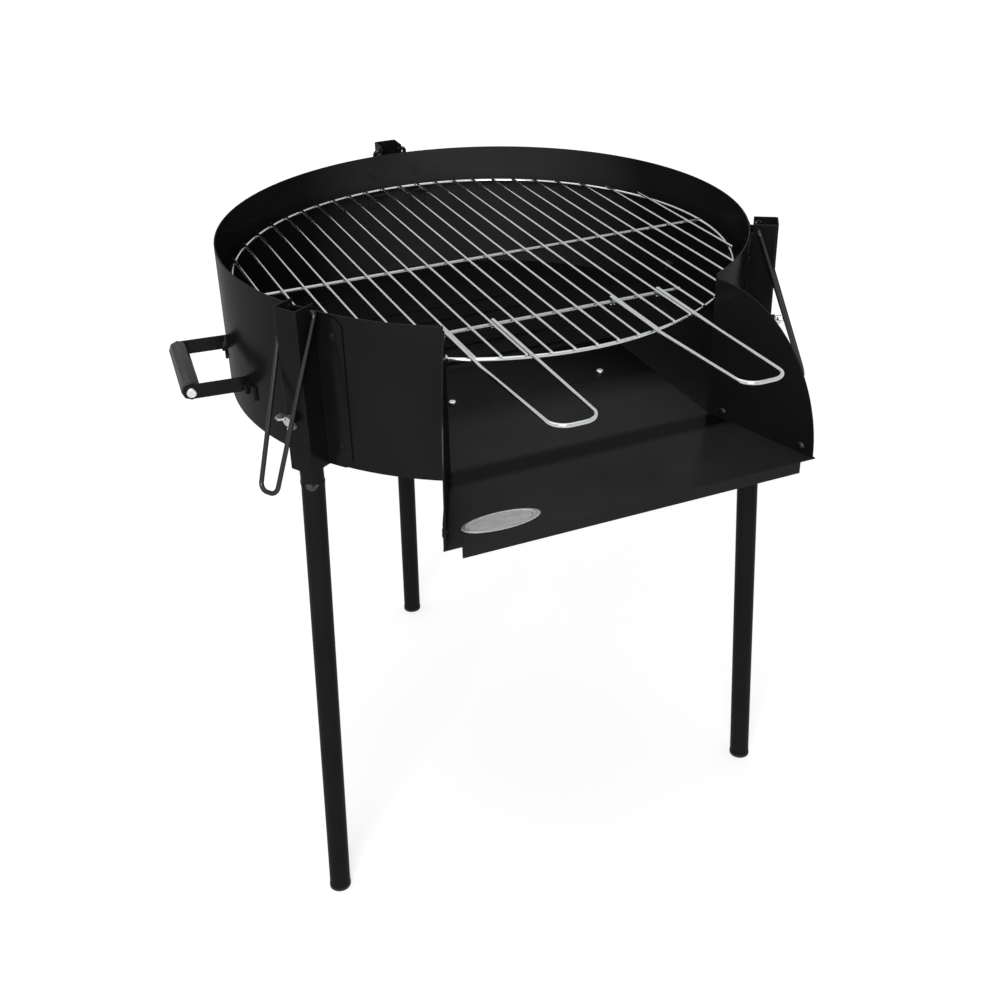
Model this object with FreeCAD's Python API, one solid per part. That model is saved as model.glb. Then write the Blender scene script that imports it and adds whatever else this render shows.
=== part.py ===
"""Paella grill: an open-fronted fire drum on three legs, with a lift-out grate and folding pan arms.

Units are millimetres and +Z is up. The mouth of the drum faces -Y and the floor is z = 0. The pieces
are modelled about the drum's upright axis and moved at the end, so that the origin lies on the floor
under the middle of the whole object.
"""
import FreeCAD, Part
import os
from math import acos, asin, atan, cos, degrees, pi, radians, sin, sqrt, tan

from FreeCAD import Vector

# Fire drum
DRUM_RADIUS = 300.0
DRUM_HEIGHT = 168.0
RIM_HEIGHT = 750.0
SHEET = 1.5
MOUTH_HALF_ANGLE = 30.1

# Drum floor
FLOOR_INSET = 10.0
FLOOR_FRONT_GAP = 2.0
FLOOR_SKIRT = 8.0
RIB_COUNT = 5
RIB_PITCH = 41.5
RIB_FIRST_Y = -20.75
RIB_LENGTH = 196.0
RIB_WIDTH = 12.0
RIB_DEPTH = 3.0

# Front tray and its cheeks
TRAY_REACH = 120.0
TRAY_OVERLAP = 222.0
TRAY_DROP = 10.0
TRAY_SIDE_GAP = 1.3
LIP_HEIGHT = 13.0
LIP_NOTCH = 17.0
FLANGE_HEIGHT = 24.0
FLANGE_START = 2.0
FLANGE_SETBACK = 5.0
CHEEK_FLARE = 23.7
CHEEK_LENGTH = 130.0
CHEEK_TOP_DROP = 4.0
CHEEK_START = 0.3
CHEEK_RIVET_FIRST = 18.0
CHEEK_RIVET_LAST = 115.0
CHEEK_RIVET_LIFT = 7.5
TRAY_BOLT_SPREAD = 91.0
TRAY_BOLT_INSET = 83.0
TRAY_HEAD_RADIUS = 4.3

# Oval plate on the tray
PLATE_LENGTH = 82.0
PLATE_WIDTH = 28.0
PLATE_THICKNESS = 0.8
PLATE_FRONT_INSET = 22.0
PLATE_SIDE_INSET = 14.0
PIN_RADIUS = 1.6
PIN_HEAD_RADIUS = 2.4
PIN_HEAD_HEIGHT = 0.9
PIN_END_INSET = 6.0

# Leg brackets, legs and feet
LEG_ANGLE = 58.2
TUBE_DIAMETER = 25.0
TUBE_WALL = 1.5
TUBE_SIDE_CLEARANCE = 0.3
SOCKET_SLACK = 3.5
BRACKET_RISE = 9.5
BRACKET_NOTCH = 3.5
BRACKET_HANG = 0.5
BRACKET_BEND = 3.0
BRACKET_FLANGE = 29.0
BRACKET_FLANGE_DROP = 3.0
BRACKET_CHAMFER = 8.0
FLANGE_RIVET_OFFSET = 16.0
UPPER_RIVET_DROP = 23.0
LOWER_RIVET_RISE = 24.0
LEG_TOP_DROP = 8.0
LEG_KINK_DROP = 193.0
LEG_KINK_RADIUS = 90.0
LEG_SPLAY = 2.6
FOOT_RIM = 4.0
FOOT_RIM_OVERHANG = 0.5
FOOT_PLUG_LENGTH = 22.0

# Clamp screws that hold the legs
CLAMP_DROP = 106.0
CLAMP_NUT_HEIGHT = 5.0
WING_SPAN = 22.0
WING_TURN = -27.0
WING_HEIGHT = 9.0
WING_THICKNESS = 3.0
WING_HUB_RADIUS = 5.0
WING_HUB_LENGTH = 6.0
WING_STANDOFF = 1.0

# Folding pan arms
ARM_WIRE = 5.0
ARM_LENGTH = 186.0
ARM_PIVOT_OUT = 9.0
ARM_RIM_GAP = 0.5
ARM_SIDE_OFFSET = 6.5
ARM_STUB_INSIDE = 2.0
ARM_ELBOW = 5.0
ARM_LOOP = 9.0
ARM_SCREW_GAP = 2.2
ARM_EASE = {"left": 0.0, "right": 2.0, "rear": 0.0}
ARM_CHANNEL_GAP = 0.3
ARM_PIVOT_CLEARANCE = 0.3

# Side handles
HANDLE_ANGLE = 95.3
HANDLE_RISE = 42.0
HANDLE_OUT = 51.0
GRIP_LENGTH = 118.0
GRIP_RADIUS = 10.8
GRIP_SIDES = 8
GRIP_ROUND = 1.5
STRAP_HEIGHT = 16.0
STRAP_THICKNESS = 3.0
STRAP_FOOT = 32.0
STRAP_BOLT_INSET = 15.0

# Grate and its fold-down handles
GRATE_DROP = 41.0
GRATE_GAP = 11.6
RING_WIRE = 4.5
BAR_WIRE = 3.0
BAR_PITCH = 24.0
BAR_EDGE_MARGIN = 12.0
ROD_WIRE = 4.5
MIDDLE_ROD_Y = -5.0
HANDLE_ROD_INSET = 96.6
LOOP_WIRE = 4.0
LOOP_REACH = 154.0
LOOP_RISE = 5.0
LOOP_END_WIDTH = 46.0
LOOP_CORNER = 18.0
LOOP_BEND = 40.0
LOOP_MOUTH_MARGIN = 10.0
EYE_WRAP = 270.0
EYE_CLEARANCE = 0.3

# Clips inside the drum that the grate rests on
CLIP_WIDTH = 18.0
CLIP_THICKNESS = 2.0
CLIP_HEIGHT = 24.0
CLIP_REACH = 22.0

# M6 screws, and rivets for holes of the same size
BOLT_RADIUS = 3.0
HOLE_CLEARANCE = 0.25
THREAD_CLEARANCE = 0.05
HEAD_RADIUS = 5.5
HEAD_HEIGHT = 3.2
HEAD_ROUND = 1.6
NUT_FLATS = 10.0
NUT_HEIGHT = 5.0
BOLT_END = 2.0
RIVET_DOME_RADIUS = 4.8
RIVET_DOME_HEIGHT = 1.8
RIVET_TAIL_RADIUS = 4.2
RIVET_TAIL_HEIGHT = 1.2

# Small gaps between pieces that lie on each other
SEAT = 0.1
FLOOR_FIT = 0.2

# Sizes worked out from the values above
FLOOR_TOP = RIM_HEIGHT - DRUM_HEIGHT + FLOOR_INSET
TRAY_TOP = FLOOR_TOP + SEAT + SHEET
MOUTH_X = DRUM_RADIUS * sin(radians(MOUTH_HALF_ANGLE))
MOUTH_Y = -DRUM_RADIUS * cos(radians(MOUTH_HALF_ANGLE))
TRAY_FRONT_Y = MOUTH_Y - TRAY_REACH
TRAY_REAR_Y = MOUTH_Y + TRAY_OVERLAP
TRAY_SLOPE = atan(TRAY_DROP / TRAY_REACH)
TUBE_RADIUS = TUBE_DIAMETER / 2
CHANNEL_HALF = TUBE_RADIUS + TUBE_SIDE_CLEARANCE + SHEET
CHANNEL_DEPTH = TUBE_DIAMETER + SOCKET_SLACK + SHEET
CHANNEL_FACE = DRUM_RADIUS + CHANNEL_DEPTH
LEG_AXIS = DRUM_RADIUS + (CHANNEL_DEPTH - SHEET) / 2
BRACKET_HALF = CHANNEL_HALF + BRACKET_FLANGE
FLANGE_RIVET_ARC = CHANNEL_HALF + FLANGE_RIVET_OFFSET
FLANGE_RIVET_ANGLE = degrees(asin(FLANGE_RIVET_ARC / DRUM_RADIUS))
UPPER_RIVET_Z = RIM_HEIGHT - UPPER_RIVET_DROP
LOWER_RIVET_Z = RIM_HEIGHT - DRUM_HEIGHT + LOWER_RIVET_RISE
HOLE_RADIUS = BOLT_RADIUS + HOLE_CLEARANCE
CLAMP_Z = RIM_HEIGHT - CLAMP_DROP
CLAMP_NUT_FACE = CHANNEL_FACE + SEAT + CLAMP_NUT_HEIGHT
WING_BASE = CLAMP_NUT_FACE + WING_STANDOFF
WING_TIP = WING_BASE + WING_HUB_LENGTH / 2 + WING_HEIGHT
ARM_RADIUS = ARM_WIRE / 2
ARM_PIVOT_R = DRUM_RADIUS + ARM_PIVOT_OUT
ARM_PIVOT_Z = RIM_HEIGHT + ARM_RADIUS + ARM_RIM_GAP
ARM_TILT = atan((WING_TIP + ARM_RADIUS + ARM_SCREW_GAP - ARM_PIVOT_R) / (ARM_PIVOT_Z - CLAMP_Z))
ARM_TOP_HALF = CHANNEL_HALF + ARM_SIDE_OFFSET
ARM_CLEAR_HALF = CHANNEL_HALF + ARM_RADIUS + ARM_CHANNEL_GAP
ARM_LEAST_TILT = ARM_TILT - radians(max(ARM_EASE.values()))
ARM_CLEAR_RUN = (CHANNEL_FACE + ARM_RADIUS - ARM_PIVOT_R) / sin(ARM_LEAST_TILT)
ARM_END_HALF = ARM_TOP_HALF - (ARM_TOP_HALF - ARM_CLEAR_HALF) / ARM_CLEAR_RUN * ARM_LENGTH
HANDLE_Z = RIM_HEIGHT - DRUM_HEIGHT + HANDLE_RISE
HANDLE_AXIS = DRUM_RADIUS + HANDLE_OUT
STRAP_INNER = GRIP_LENGTH / 2 + SEAT
STRAP_OUTER = STRAP_INNER + STRAP_THICKNESS
STRAP_HEELS = (STRAP_INNER, -STRAP_OUTER)
RING_RADIUS = DRUM_RADIUS - SHEET - GRATE_GAP - RING_WIRE / 2
RING_Z = RIM_HEIGHT - GRATE_DROP
BAR_Z = RING_Z + RING_WIRE / 2 + BAR_WIRE / 2
BARS_EACH_SIDE = int((RING_RADIUS - BAR_EDGE_MARGIN) // BAR_PITCH)
ROD_Z = BAR_Z - BAR_WIRE / 2 - ROD_WIRE / 2
HANDLE_ROD_Y = -(RING_RADIUS - HANDLE_ROD_INSET)
LOOP_RADIUS = LOOP_WIRE / 2
EYE_RADIUS = ROD_WIRE / 2 + EYE_CLEARANCE + LOOP_RADIUS
LOOP_HALF = BAR_PITCH + BAR_WIRE / 2 + LOOP_RADIUS + EYE_CLEARANCE
MOUTH_CLEAR_X = (DRUM_RADIUS - SHEET) * sin(radians(MOUTH_HALF_ANGLE)) - LOOP_MOUTH_MARGIN
LOOP_BAR = int((MOUTH_CLEAR_X - LOOP_HALF) // BAR_PITCH)
LOOP_X = LOOP_BAR * BAR_PITCH
LOOP_Z = ROD_Z + EYE_RADIUS
HANDLE_ROD_HALF = LOOP_X + LOOP_HALF + LOOP_RADIUS + BAR_PITCH
CLIP_LEDGE_Z = RING_Z - RING_WIRE / 2 - SEAT

LEG_SIDES = {"left": -LEG_ANGLE, "right": LEG_ANGLE, "rear": 180.0}
HANDLE_SIDES = {"left": -HANDLE_ANGLE, "right": HANDLE_ANGLE}
MIRROR_SIDES = {"left": -1, "right": 1}


def turned(shape, angle):
    """Turns a shape built with +X outwards, so that it points at an angle from the mouth."""
    copy = shape.copy()
    copy.rotate(Vector(0, 0, 0), Vector(0, 0, 1), angle - 90)
    return copy


def rod(start, end, radius):
    """A round bar between two points."""
    axis = end - start
    return Part.makeCylinder(radius, axis.Length, start, axis)


def block(low, high):
    """A box between two corners."""
    size = high - low
    return Part.makeBox(size.x, size.y, size.z, low)


def prism(points, direction):
    """A polygon carried along a direction."""
    outline = Part.makePolygon(points + [points[0]])
    return Part.Face(outline).extrude(direction)


def solid_of(shape):
    """The single solid that a fused or cut shape holds."""
    clean = shape.removeSplitter()
    if len(clean.Solids) != 1:
        raise ValueError("expected one solid, got %d" % len(clean.Solids))
    return clean.Solids[0]


def fused(shapes):
    """Several touching shapes as one solid."""
    return solid_of(shapes[0].fuse(shapes[1:]))


def rounded_path(points, radii):
    """A wire through points, with the inner corners rounded by the given radii."""
    edges = []
    start = points[0]
    for before, corner, after, radius in zip(points, points[1:], points[2:], radii):
        back = (before - corner).normalize()
        ahead = (after - corner).normalize()
        half_turn = (pi - acos(back.dot(ahead))) / 2
        reach = radius * tan(half_turn)
        middle = (back + ahead).normalize()
        centre_distance = radius / cos(half_turn)
        enter = corner + back * reach
        leave = corner + ahead * reach
        apex = corner + middle * (centre_distance - radius)
        edges.append(Part.LineSegment(start, enter).toShape())
        edges.append(Part.Arc(enter, apex, leave).toShape())
        start = leave
    edges.append(Part.LineSegment(start, points[-1]).toShape())
    return edges


def bent_wire(edges, radius):
    """A round wire along a chain of tangent edges."""
    path = Part.Wire(edges)
    start = edges[0].valueAt(edges[0].FirstParameter)
    heading = edges[0].tangentAt(edges[0].FirstParameter)
    profile = Part.Wire([Part.Circle(start, heading, radius).toShape()])
    return path.makePipeShell([profile], True, False)


def bolt(seat, inwards, grip, head_radius=HEAD_RADIUS):
    """A round-headed screw whose head rests at seat and whose shank runs inwards through the grip."""
    head = Part.makeCylinder(head_radius, HEAD_HEIGHT, seat, inwards * -1)
    crown = [edge for edge in head.Edges if edge.isClosed() and is_top_circle(edge, seat, inwards)]
    head = head.makeFillet(HEAD_ROUND, crown)
    length = grip + NUT_HEIGHT + BOLT_END
    shank = Part.makeCylinder(BOLT_RADIUS, length, seat, inwards)
    return fused([head, shank])


def is_top_circle(edge, seat, inwards):
    """True for the circle round the outer face of a screw head."""
    if not hasattr(edge.Curve, "Center"):
        return False
    return (edge.Curve.Center - seat).dot(inwards) < -HEAD_HEIGHT / 2


def rivet(seat, inwards, grip):
    """A rivet whose domed head rests at seat and whose low tail holds the far side of the grip."""
    ball = (RIVET_DOME_RADIUS ** 2 + RIVET_DOME_HEIGHT ** 2) / (2 * RIVET_DOME_HEIGHT)
    sunk = ball - RIVET_DOME_HEIGHT
    dome = Part.makeSphere(ball, seat + inwards * sunk, inwards * -1, degrees(asin(sunk / ball)), 90, 360)
    stem = Part.makeCylinder(BOLT_RADIUS, grip, seat, inwards)
    tail = Part.makeCylinder(RIVET_TAIL_RADIUS, RIVET_TAIL_HEIGHT, seat + inwards * grip, inwards)
    return fused([dome, stem, tail])


def nut(seat, inwards):
    """A hexagon nut whose face rests at seat."""
    hexagon = regular_prism(6, NUT_FLATS / 2 / cos(pi / 6), NUT_HEIGHT)
    bore = Part.makeCylinder(BOLT_RADIUS + THREAD_CLEARANCE, NUT_HEIGHT)
    return aimed(hexagon.cut(bore), seat, inwards)


def regular_prism(sides, corner_radius, height):
    """A regular prism on the XY plane."""
    steps = [2 * pi * index / sides for index in range(sides)]
    corners = [Vector(corner_radius * cos(a), corner_radius * sin(a), 0) for a in steps]
    return prism(corners, Vector(0, 0, height))


def aimed(shape, place, direction):
    """Carries a shape built along +Z to a place, along a direction."""
    copy = shape.copy()
    copy.Placement = FreeCAD.Placement(place, FreeCAD.Rotation(Vector(0, 0, 1), direction))
    return copy


def outwards(angle, tilt=0.0):
    """The outward direction at an angle from the mouth."""
    return Vector(sin(radians(angle + tilt)), -cos(radians(angle + tilt)), 0)


def bracket_rivet_places():
    """Angle and height of each rivet that holds a leg bracket to the drum."""
    for angle in LEG_SIDES.values():
        for side in (-1, 1):
            for height in (UPPER_RIVET_Z, LOWER_RIVET_Z):
                yield angle + side * FLANGE_RIVET_ANGLE, height


def strap_bolt_places():
    """Angle and height of each screw that holds a handle strap to the drum."""
    for angle in HANDLE_SIDES.values():
        for heel in STRAP_HEELS:
            turn = degrees(asin((heel + STRAP_BOLT_INSET) / DRUM_RADIUS))
            yield angle + mouth_side(angle) * turn, HANDLE_Z


def mouth_side(angle):
    """The sign of local Y that leads from a side handle to the mouth."""
    return 1 if angle < 0 else -1


def radial_hole(angle, height, low, high):
    """A screw hole through the drum wall or a piece on it."""
    heading = outwards(angle)
    start = heading * low + Vector(0, 0, height)
    return Part.makeCylinder(HOLE_RADIUS, high - low, start, heading)


def tube_shell(outer, inner, low, high):
    """An upright round shell between two heights."""
    base = Vector(0, 0, low)
    full = Part.makeCylinder(outer, high - low, base)
    return full.cut(Part.makeCylinder(inner, high - low, base))


def drum_wall():
    """The rolled band, open at the mouth and drilled for its screws."""
    low = RIM_HEIGHT - DRUM_HEIGHT
    shell = tube_shell(DRUM_RADIUS, DRUM_RADIUS - SHEET, low, RIM_HEIGHT)
    reach = DRUM_RADIUS * 2
    edges = [outwards(-MOUTH_HALF_ANGLE) * reach, outwards(MOUTH_HALF_ANGLE) * reach]
    corners = [Vector(0, 0, 0), edges[0], edges[1]]
    mouth = prism(corners, Vector(0, 0, RIM_HEIGHT * 2))
    wall = shell.cut(mouth)
    places = list(bracket_rivet_places()) + list(strap_bolt_places())
    holes = [radial_hole(a, z, DRUM_RADIUS - HEAD_RADIUS, DRUM_RADIUS + HEAD_RADIUS) for a, z in places]
    return solid_of(wall.cut(holes))


def rib(y, low, high, width):
    """A long round-ended block across the drum floor."""
    half = (RIB_LENGTH - width) / 2
    body = block(Vector(-half, y - width / 2, low), Vector(half, y + width / 2, high))
    ends = [Part.makeCylinder(width / 2, high - low, Vector(x, y, low)) for x in (-half, half)]
    return body.fuse(ends)


def drum_floor():
    """The flat bottom with pressed ribs, a turned-down edge and a straight front."""
    radius = DRUM_RADIUS - SHEET - FLOOR_FIT
    low = FLOOR_TOP - SHEET
    plate = Part.makeCylinder(radius, SHEET, Vector(0, 0, low))
    skirt = tube_shell(radius, radius - SHEET, FLOOR_TOP - FLOOR_SKIRT, low)
    rows = [RIB_FIRST_Y + RIB_PITCH * index for index in range(RIB_COUNT)]
    backs = [rib(y, low - RIB_DEPTH, low, RIB_WIDTH) for y in rows]
    grooves = [rib(y, FLOOR_TOP - RIB_DEPTH, FLOOR_TOP, RIB_WIDTH - 2 * SHEET) for y in rows]
    floor = plate.fuse([skirt] + backs).cut(grooves)
    front_y = MOUTH_Y + FLOOR_FRONT_GAP
    front = block(Vector(-radius, -radius, 0), Vector(radius, front_y, RIM_HEIGHT))
    floor = floor.cut(front)
    holes = [rod(Vector(x, y, low - 1), Vector(x, y, FLOOR_TOP + 1), HOLE_RADIUS)
             for x, y in tray_bolt_places()]
    return solid_of(floor.cut(holes))


def tray_bolt_places():
    """Plan positions of the two screws that hold the tray to the drum floor."""
    y = TRAY_REAR_Y - TRAY_BOLT_INSET
    return [(-TRAY_BOLT_SPREAD, y), (TRAY_BOLT_SPREAD, y)]


def tray_height(y):
    """Height of the tray's upper face at a distance along Y."""
    return TRAY_TOP - max(0.0, MOUTH_Y - y) * tan(TRAY_SLOPE)


def flare_x(y, outset):
    """Half-width between lines that run along the cheeks, moved out by an amount."""
    slope = radians(CHEEK_FLARE)
    return MOUTH_X + (MOUTH_Y - y) * tan(slope) + outset / cos(slope)


def side_band(side, inner, outer, rear_y, front_y):
    """An upright band along one cheek, between two distances from the cheek's outer face."""
    corners = []
    for y, outset in ((rear_y, inner), (rear_y, outer), (front_y, outer), (front_y, inner)):
        corners.append(Vector(side * flare_x(y, outset), y, 0))
    return prism(corners, Vector(0, 0, RIM_HEIGHT))


def tray_layer(low, high):
    """The tray's bent profile between two distances above its upper face, as wide as the whole tray."""
    reach = DRUM_RADIUS * 2
    line = [(TRAY_REAR_Y, TRAY_TOP), (MOUTH_Y, TRAY_TOP), (TRAY_FRONT_Y, tray_height(TRAY_FRONT_Y))]
    upper = [Vector(-reach, y, z + high) for y, z in line]
    lower = [Vector(-reach, y, z + low) for y, z in reversed(line)]
    return prism(upper + lower, Vector(reach * 2, 0, 0))


def front_tray():
    """The bent hearth plate with a front lip and two upright side flanges."""
    inner_x = MOUTH_X - TRAY_SIDE_GAP
    flange_y = MOUTH_Y - FLANGE_START
    edge = 2 * SHEET + SEAT
    half = [(inner_x, TRAY_REAR_Y), (inner_x, flange_y), (flare_x(flange_y, edge - SHEET), flange_y)]
    half.append((flare_x(TRAY_FRONT_Y, edge - SHEET), TRAY_FRONT_Y))
    outline = [Vector(x, y, 0) for x, y in half]
    outline += [Vector(-x, y, 0) for x, y in reversed(half)]
    plan = prism(outline, Vector(0, 0, RIM_HEIGHT))
    plate = tray_layer(-SHEET, 0).common(plan)
    flanges = []
    for side in MIRROR_SIDES.values():
        band = side_band(side, SEAT, SEAT + SHEET, flange_y, TRAY_FRONT_Y + FLANGE_SETBACK)
        flanges.append(tray_layer(-SHEET, FLANGE_HEIGHT).common(band))
    lip_top = tray_height(TRAY_FRONT_Y)
    lip_x = flare_x(TRAY_FRONT_Y, 0) - LIP_NOTCH
    lip = block(
        Vector(-lip_x, TRAY_FRONT_Y - SHEET, lip_top - LIP_HEIGHT),
        Vector(lip_x, TRAY_FRONT_Y, lip_top),
    )
    tray = plate.fuse(flanges + [lip])
    holes = [rod(Vector(x, y, FLOOR_TOP - 1), Vector(x, y, TRAY_TOP + 1), HOLE_RADIUS)
             for x, y in tray_bolt_places()]
    for side in MIRROR_SIDES.values():
        holes += [cheek_hole(side, run) for run in (CHEEK_RIVET_FIRST, CHEEK_RIVET_LAST)]
    return solid_of(tray.cut(holes))


def cheek_heading(side):
    """Direction in which a cheek runs forward from the drum."""
    return Vector(side * sin(radians(CHEEK_FLARE)), -cos(radians(CHEEK_FLARE)), 0)


def cheek_normal(side):
    """Outward direction of a cheek's face."""
    return Vector(side * cos(radians(CHEEK_FLARE)), sin(radians(CHEEK_FLARE)), 0)


def cheek_point(side, run, lift):
    """A point on a cheek's outer face, by distance along it and height above the tray."""
    foot = Vector(side * MOUTH_X, MOUTH_Y, 0) + cheek_heading(side) * run
    return foot + Vector(0, 0, tray_height(foot.y) + lift)


def cheek_hole(side, run):
    """A rivet hole through a cheek and the tray's flange."""
    middle = cheek_point(side, run, CHEEK_RIVET_LIFT)
    normal = cheek_normal(side)
    return rod(middle - normal * HEAD_RADIUS, middle + normal * HEAD_RADIUS, HOLE_RADIUS)


def cheek(side):
    """A flat wing plate whose upper edge falls along a quarter ellipse."""
    rear_low = cheek_point(side, CHEEK_START, SEAT)
    front_low = cheek_point(side, CHEEK_LENGTH, SEAT)
    centre = Vector(rear_low.x, rear_low.y, front_low.z)
    rear_top = Vector(rear_low.x, rear_low.y, RIM_HEIGHT - CHEEK_TOP_DROP)
    curve = Part.Ellipse(rear_top, front_low, centre)
    quarter = Part.ArcOfEllipse(curve, 0, pi / 2).toShape()
    starts = quarter.valueAt(quarter.FirstParameter)
    ends = quarter.valueAt(quarter.LastParameter)
    edges = [quarter,
             Part.LineSegment(ends, rear_low).toShape(),
             Part.LineSegment(rear_low, starts).toShape()]
    plate = Part.Face(Part.Wire(edges)).extrude(cheek_normal(side) * -SHEET)
    holes = [cheek_hole(side, run) for run in (CHEEK_RIVET_FIRST, CHEEK_RIVET_LAST)]
    return solid_of(plate.cut(holes))


def tray_frame(x, y):
    """Placement on the sloping part of the tray, with +Z square to it."""
    turn = FreeCAD.Rotation(Vector(1, 0, 0), degrees(TRAY_SLOPE))
    return FreeCAD.Placement(Vector(x, y, tray_height(y)), turn)


def plate_middle():
    """Plan position of the oval plate's middle."""
    y = TRAY_FRONT_Y + PLATE_FRONT_INSET
    x = -flare_x(y, 0) + SHEET + PLATE_SIDE_INSET + PLATE_LENGTH / 2
    return x, y


def nameplate():
    """The bare oval plate, with a hole for a rivet near each end."""
    ellipse = Part.Ellipse(Vector(0, 0, SEAT), PLATE_LENGTH / 2, PLATE_WIDTH / 2)
    oval = Part.Face(Part.Wire([ellipse.toShape()])).extrude(Vector(0, 0, PLATE_THICKNESS))
    holes = [Part.makeCylinder(PIN_RADIUS + SEAT, PLATE_WIDTH, Vector(x, 0, 0)) for x in rivet_offsets()]
    plate = oval.cut(holes)
    plate.Placement = tray_frame(*plate_middle())
    return solid_of(plate)


def rivet_offsets():
    """Distances of the two rivets from the oval plate's middle."""
    reach = PLATE_LENGTH / 2 - PIN_END_INSET
    return (-reach, reach)


def nameplate_rivets():
    """The two rivets that hold the oval plate on the tray."""
    top = SEAT + PLATE_THICKNESS
    rivets = []
    for x in rivet_offsets():
        stem = Part.makeCylinder(PIN_RADIUS, top, Vector(x, 0, 0))
        head = Part.makeCylinder(PIN_HEAD_RADIUS, PIN_HEAD_HEIGHT, Vector(x, 0, top))
        rivet = fused([stem, head])
        rivet.Placement = tray_frame(*plate_middle())
        rivets.append(rivet)
    return rivets


def tray_bolts():
    """The two screws down through the tray and the drum floor."""
    grip = 2 * SHEET + SEAT
    seats = [Vector(x, y, TRAY_TOP + SEAT) for x, y in tray_bolt_places()]
    return [bolt(seat, Vector(0, 0, -1), grip + SEAT, TRAY_HEAD_RADIUS) for seat in seats]


def tray_nuts():
    """The nuts under the drum floor."""
    return [nut(Vector(x, y, FLOOR_TOP - SHEET - SEAT), Vector(0, 0, -1)) for x, y in tray_bolt_places()]


def cheek_rivets():
    """Rivets with their heads inside the cheeks and their tails outside the tray's flanges."""
    rivets = []
    for side in MIRROR_SIDES.values():
        normal = cheek_normal(side)
        for run in (CHEEK_RIVET_FIRST, CHEEK_RIVET_LAST):
            seat = cheek_point(side, run, CHEEK_RIVET_LIFT) - normal * (SHEET + SEAT)
            rivets.append(rivet(seat, normal, 2 * SHEET + 3 * SEAT))
    return rivets


def leg_bracket(angle):
    """A folded channel with two flanges that follow the drum."""
    low = RIM_HEIGHT - DRUM_HEIGHT - BRACKET_HANG
    high = RIM_HEIGHT + BRACKET_RISE
    outer = block(Vector(DRUM_RADIUS, -CHANNEL_HALF, low), Vector(CHANNEL_FACE, CHANNEL_HALF, high))
    bends = [edge for edge in outer.Edges if is_upright_at(edge, CHANNEL_FACE)]
    outer = outer.makeFillet(BRACKET_BEND, bends)
    inner_half = CHANNEL_HALF - SHEET
    inner = block(Vector(0, -inner_half, low), Vector(CHANNEL_FACE - SHEET, inner_half, high))
    bends = [edge for edge in inner.Edges if is_upright_at(edge, CHANNEL_FACE - SHEET)]
    inner = inner.makeFillet(BRACKET_BEND - SHEET, bends)
    channel = outer.cut(inner)
    bracket = fused([channel] + [bracket_flange(side) for side in (-1, 1)])
    pivot = rod(Vector(ARM_PIVOT_R, -BRACKET_HALF, ARM_PIVOT_Z),
                Vector(ARM_PIVOT_R, BRACKET_HALF, ARM_PIVOT_Z),
                ARM_RADIUS + ARM_PIVOT_CLEARANCE)
    clamp = rod(Vector(LEG_AXIS, 0, CLAMP_Z), Vector(CHANNEL_FACE + SHEET, 0, CLAMP_Z), HOLE_RADIUS)
    notch = block(
        Vector(0, -BRACKET_HALF, RIM_HEIGHT),
        Vector(DRUM_RADIUS + BRACKET_NOTCH, BRACKET_HALF, high),
    )
    bracket = turned(bracket.cut([pivot, clamp, notch]), angle)
    span = HEAD_RADIUS
    places = [(a, z) for a, z in bracket_rivet_places() if abs(a - angle) <= FLANGE_RIVET_ANGLE * 1.01]
    holes = [radial_hole(a, z, DRUM_RADIUS - span, DRUM_RADIUS + span) for a, z in places]
    return solid_of(bracket.cut(holes))


def is_upright_at(edge, x):
    """True for a vertical edge at a distance along X."""
    first, last = [vertex.Point for vertex in edge.Vertexes]
    return abs(first.z - last.z) > 1 and abs(first.x - x) < 1e-6 and abs(last.x - x) < 1e-6


def bracket_flange(side):
    """One curved flange of a leg bracket, with its outer corners cut off."""
    low = RIM_HEIGHT - DRUM_HEIGHT
    high = RIM_HEIGHT - BRACKET_FLANGE_DROP
    inner = DRUM_RADIUS + SEAT
    shell = tube_shell(inner + SHEET, inner, low, high)
    start = CHANNEL_HALF - SHEET
    outline = [(start, low), (BRACKET_HALF - BRACKET_CHAMFER, low), (BRACKET_HALF, low + BRACKET_CHAMFER)]
    outline += [(BRACKET_HALF, high - BRACKET_CHAMFER), (BRACKET_HALF - BRACKET_CHAMFER, high), (start, high)]
    corners = [Vector(0, side * y, z) for y, z in outline]
    return shell.common(prism(corners, Vector(DRUM_RADIUS * 2, 0, 0)))


def bracket_rivets():
    """The rivets that hold the three leg brackets to the drum."""
    rivets = []
    for angle, height in bracket_rivet_places():
        seat = outwards(angle) * (DRUM_RADIUS + SHEET + 2 * SEAT) + Vector(0, 0, height)
        rivets.append(rivet(seat, outwards(angle) * -1, 2 * SHEET + 3 * SEAT))
    return rivets


def clip_seat():
    """Distance from the axis to the back of a flat clip that stands inside the curved wall."""
    inside = DRUM_RADIUS - SHEET
    return sqrt(inside ** 2 - (CLIP_WIDTH / 2) ** 2) - SEAT


def grate_rest_clips():
    """Bent clips welded inside the drum behind the brackets, with a ledge for the grate."""
    back = clip_seat()
    half = CLIP_WIDTH / 2
    upright = block(
        Vector(back - CLIP_THICKNESS, -half, CLIP_LEDGE_Z - CLIP_HEIGHT),
        Vector(back, half, CLIP_LEDGE_Z),
    )
    ledge = block(
        Vector(back - CLIP_REACH, -half, CLIP_LEDGE_Z - CLIP_THICKNESS),
        Vector(back, half, CLIP_LEDGE_Z),
    )
    clip = fused([upright, ledge])
    return [turned(clip, angle) for angle, height in bracket_rivet_places() if height == UPPER_RIVET_Z]


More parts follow.
